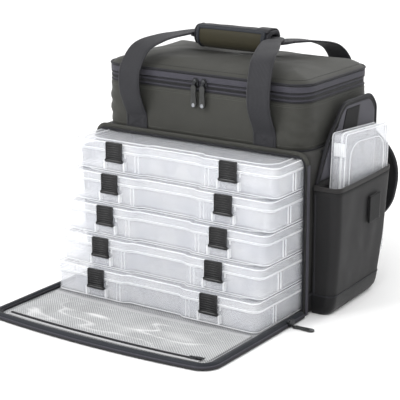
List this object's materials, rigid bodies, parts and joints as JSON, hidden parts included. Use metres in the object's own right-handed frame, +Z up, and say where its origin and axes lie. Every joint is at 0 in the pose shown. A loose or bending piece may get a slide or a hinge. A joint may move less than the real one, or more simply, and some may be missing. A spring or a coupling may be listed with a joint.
{
  "type": "fishing tackle backpack",
  "caption": "Soft-sided fishing tackle backpack with clear lidded boxes sliding out under a fold-down front flap, a zipped top compartment and side pockets.",
  "frame": {"origin": "middle of the base's underside, on the ground", "axes": "+X to the right seen from the front, +Y from the front flap to the wearer's back, +Z up"},
  "size_m": [0.4605, 0.5519, 0.3832],
  "materials": {
    "coated_fabric": "olive-charcoal coated polyester, fine plain weave",
    "base_guard": "thick black rubberised polyester",
    "stiff_board": "stiffening board",
    "piping": "woven binding over piping",
    "zip_tape": "zip tape with dark coil",
    "mesh_fabric": "open knitted mesh",
    "webbing": "ribbed polyester webbing",
    "padding": "foam under air mesh",
    "hook_loop": "hook-and-loop patch",
    "buckle_plastic": "moulded buckle plastic",
    "zip_metal": "dark enamelled zip slider",
    "puller_rubber": "moulded puller",
    "clear_plastic": "milky clear polypropylene",
    "latch_plastic": "black latch, satin",
    "small_latch_plastic": "clear latch"
  },
  "bodies": {
    "pack": {"base_guard": "base_guard", "base_board": "stiff_board", "lower_shell": "coated_fabric", "front_frame": "piping", "upper_shell": "coated_fabric", "divider_board": "stiff_board", "top_zip_tape": "zip_tape", "right_pocket": "coated_fabric", "right_pocket_hem": "piping", "right_pocket_patch": "hook_loop", "right_flap_back": "coated_fabric", "left_pocket": "coated_fabric", "left_pocket_hem": "piping", "back_pad": "padding", "shoulder_pad_left": "padding", "shoulder_pad_right": "padding", "ladder_lock_left": "buckle_plastic", "ladder_lock_right": "buckle_plastic", "lower_webbing_left": "webbing", "lower_webbing_right": "webbing"},
    "front_flap": {"front_flap_panel": "coated_fabric", "front_flap_binding": "piping", "mesh_pocket": "mesh_fabric"},
    "mesh_zip_slider": {"mesh_zip_slider": "zip_metal"},
    "front_slider": {"front_slider": "zip_metal"},
    "front_puller": {"front_puller": "puller_rubber"},
    "top_lid": {"top_lid": "coated_fabric"},
    "front_handle": {"front_handle": "webbing", "grip_wrap": "coated_fabric"},
    "rear_handle": {"rear_handle": "webbing"},
    "top_slider_left": {"top_slider_left": "zip_metal"},
    "top_slider_right": {"top_slider_right": "zip_metal"},
    "top_puller_left": {"top_puller_left": "puller_rubber"},
    "top_puller_right": {"top_puller_right": "puller_rubber"},
    "right_flap_tip": {"right_flap_tip": "coated_fabric"},
    "left_flap": {"left_flap": "coated_fabric"},
    "small_box": {"small_box_tray": "clear_plastic", "small_box_lid": "clear_plastic"},
    "small_box_latch": {"small_box_latch": "small_latch_plastic"},
    "box_1": {"box_1_tray": "clear_plastic", "box_1_lid": "clear_plastic"},
    "box_1_latch_left": {"box_1_latch_left": "latch_plastic"},
    "box_1_latch_right": {"box_1_latch_right": "latch_plastic"},
    "box_2": {"box_2_tray": "clear_plastic", "box_2_lid": "clear_plastic"},
    "box_2_latch_left": {"box_2_latch_left": "latch_plastic"},
    "box_2_latch_right": {"box_2_latch_right": "latch_plastic"},
    "box_3": {"box_3_tray": "clear_plastic", "box_3_lid": "clear_plastic"},
    "box_3_latch_left": {"box_3_latch_left": "latch_plastic"},
    "box_3_latch_right": {"box_3_latch_right": "latch_plastic"},
    "box_4": {"box_4_tray": "clear_plastic", "box_4_lid": "clear_plastic"},
    "box_4_latch_left": {"box_4_latch_left": "latch_plastic"},
    "box_4_latch_right": {"box_4_latch_right": "latch_plastic"},
    "box_5": {"box_5_tray": "clear_plastic", "box_5_lid": "clear_plastic"},
    "box_5_latch_left": {"box_5_latch_left": "latch_plastic"},
    "box_5_latch_right": {"box_5_latch_right": "latch_plastic"}
  },
  "joints": [
    {"name": "front_flap_hinge", "type": "hinge", "parent": "pack", "child": "front_flap", "pos_m": [0, -0.1063, 0.005], "axis": [-1, 0, 0], "range_deg": [0, 90], "deforming": ["front_flap_panel", "front_flap_binding", "mesh_pocket"]},
    {"name": "box_1_slide", "type": "slide", "parent": "pack", "child": "box_1", "axis": [0, 1, 0], "range_m": [0, 0.123]},
    {"name": "box_1_latch_left_hinge", "type": "hinge", "parent": "box_1", "child": "box_1_latch_left", "pos_m": [-0.099, -0.2203, 0.0226], "axis": [-1, 0, 0], "range_deg": [-95, 0]},
    {"name": "box_1_latch_right_hinge", "type": "hinge", "parent": "box_1", "child": "box_1_latch_right", "pos_m": [0.099, -0.2203, 0.0226], "axis": [-1, 0, 0], "range_deg": [-95, 0]},
    {"name": "box_2_slide", "type": "slide", "parent": "pack", "child": "box_2", "axis": [0, 1, 0], "range_m": [0, 0.1108]},
    {"name": "box_2_latch_left_hinge", "type": "hinge", "parent": "box_2", "child": "box_2_latch_left", "pos_m": [-0.099, -0.2081, 0.0674], "axis": [-1, 0, 0], "range_deg": [-95, 0]},
    {"name": "box_2_latch_right_hinge", "type": "hinge", "parent": "box_2", "child": "box_2_latch_right", "pos_m": [0.099, -0.2081, 0.0674], "axis": [-1, 0, 0], "range_deg": [-95, 0]},
    {"name": "box_3_slide", "type": "slide", "parent": "pack", "child": "box_3", "axis": [0, 1, 0], "range_m": [0, 0.0986]},
    {"name": "box_3_latch_left_hinge", "type": "hinge", "parent": "box_3", "child": "box_3_latch_left", "pos_m": [-0.099, -0.1959, 0.1122], "axis": [-1, 0, 0], "range_deg": [-95, 0]},
    {"name": "box_3_latch_right_hinge", "type": "hinge", "parent": "box_3", "child": "box_3_latch_right", "pos_m": [0.099, -0.1959, 0.1122], "axis": [-1, 0, 0], "range_deg": [-95, 0]},
    {"name": "box_4_slide", "type": "slide", "parent": "pack", "child": "box_4", "axis": [0, 1, 0], "range_m": [0, 0.0864]},
    {"name": "box_4_latch_left_hinge", "type": "hinge", "parent": "box_4", "child": "box_4_latch_left", "pos_m": [-0.099, -0.1837, 0.157], "axis": [-1, 0, 0], "range_deg": [-95, 0]},
    {"name": "box_4_latch_right_hinge", "type": "hinge", "parent": "box_4", "child": "box_4_latch_right", "pos_m": [0.099, -0.1837, 0.157], "axis": [-1, 0, 0], "range_deg": [-95, 0]},
    {"name": "box_5_slide", "type": "slide", "parent": "pack", "child": "box_5", "axis": [0, 1, 0], "range_m": [0, 0.0742]},
    {"name": "box_5_latch_left_hinge", "type": "hinge", "parent": "box_5", "child": "box_5_latch_left", "pos_m": [-0.099, -0.1715, 0.2018], "axis": [-1, 0, 0], "range_deg": [-95, 0]},
    {"name": "box_5_latch_right_hinge", "type": "hinge", "parent": "box_5", "child": "box_5_latch_right", "pos_m": [0.099, -0.1715, 0.2018], "axis": [-1, 0, 0], "range_deg": [-95, 0]},
    {"name": "top_lid_hinge", "type": "hinge", "parent": "pack", "child": "top_lid", "pos_m": [0, 0.102, 0.3159], "axis": [-1, 0, 0], "range_deg": [0, 100]},
    {"name": "front_handle_swing", "type": "hinge", "parent": "pack", "child": "front_handle", "pos_m": [0, -0.0979, 0.262], "axis": [1, 0, 0], "range_deg": [0, 100], "deforming": ["front_handle", "grip_wrap"]},
    {"name": "rear_handle_swing", "type": "hinge", "parent": "pack", "child": "rear_handle", "pos_m": [0, 0.1059, 0.262], "axis": [-1, 0, 0], "range_deg": [0, 100], "deforming": ["rear_handle"]},
    {"name": "top_slider_left_slide", "type": "slide", "parent": "pack", "child": "top_slider_left", "axis": [-1, 0, 0], "range_m": [0, 0.065]},
    {"name": "top_slider_right_slide", "type": "slide", "parent": "pack", "child": "top_slider_right", "axis": [1, 0, 0], "range_m": [0, 0.06]},
    {"name": "top_puller_left_hinge", "type": "hinge", "parent": "top_slider_left", "child": "top_puller_left", "pos_m": [-0.006, -0.10085, 0.3124], "axis": [-1, 0, 0], "range_deg": [0, 150]},
    {"name": "top_puller_right_hinge", "type": "hinge", "parent": "top_slider_right", "child": "top_puller_right", "pos_m": [0.009, -0.10085, 0.3124], "axis": [-1, 0, 0], "range_deg": [0, 150]},
    {"name": "mesh_zip_slide", "type": "slide", "parent": "front_flap", "child": "mesh_zip_slider", "axis": [-1, 0, 0], "range_m": [0, 0.29]},
    {"name": "front_slider_slide", "type": "slide", "parent": "front_flap", "child": "front_slider", "axis": [0, -1, 0], "range_m": [0, 0.16]},
    {"name": "front_puller_hinge", "type": "hinge", "parent": "front_slider", "child": "front_puller", "pos_m": [0.19555, -0.1503, 0.00155], "axis": [0, -1, 0], "range_deg": [0, 90]},
    {"name": "right_flap_fold", "type": "hinge", "parent": "pack", "child": "right_flap_tip", "pos_m": [0.18955, 0, 0.26215], "axis": [0, -1, 0], "range_deg": [-85, 0]},
    {"name": "left_flap_hinge", "type": "hinge", "parent": "pack", "child": "left_flap", "pos_m": [-0.1864, 0, 0.2119], "axis": [0, 1, 0], "range_deg": [0, 120]},
    {"name": "small_box_slide", "type": "slide", "parent": "pack", "child": "small_box", "axis": [0, 0.0611, 0.9981], "range_m": [0, 0.13]},
    {"name": "small_box_latch_hinge", "type": "hinge", "parent": "small_box", "child": "small_box_latch", "pos_m": [0.2001, -0.05168, 0.2353], "axis": [0, 0.0611, 0.9981], "range_deg": [-95, 0]}
  ],
  "couplings": [
    {"joint": "box_1_slide", "follows": "front_flap_hinge", "m_per_rad": 0.078304},
    {"joint": "box_2_slide", "follows": "front_flap_hinge", "m_per_rad": 0.070537},
    {"joint": "box_3_slide", "follows": "front_flap_hinge", "m_per_rad": 0.062771},
    {"joint": "box_4_slide", "follows": "front_flap_hinge", "m_per_rad": 0.055004},
    {"joint": "box_5_slide", "follows": "front_flap_hinge", "m_per_rad": 0.047237},
    {"joint": "front_handle_swing", "follows": "top_lid_hinge", "ratio": 1},
    {"joint": "rear_handle_swing", "follows": "top_lid_hinge", "ratio": 1}
  ]
}
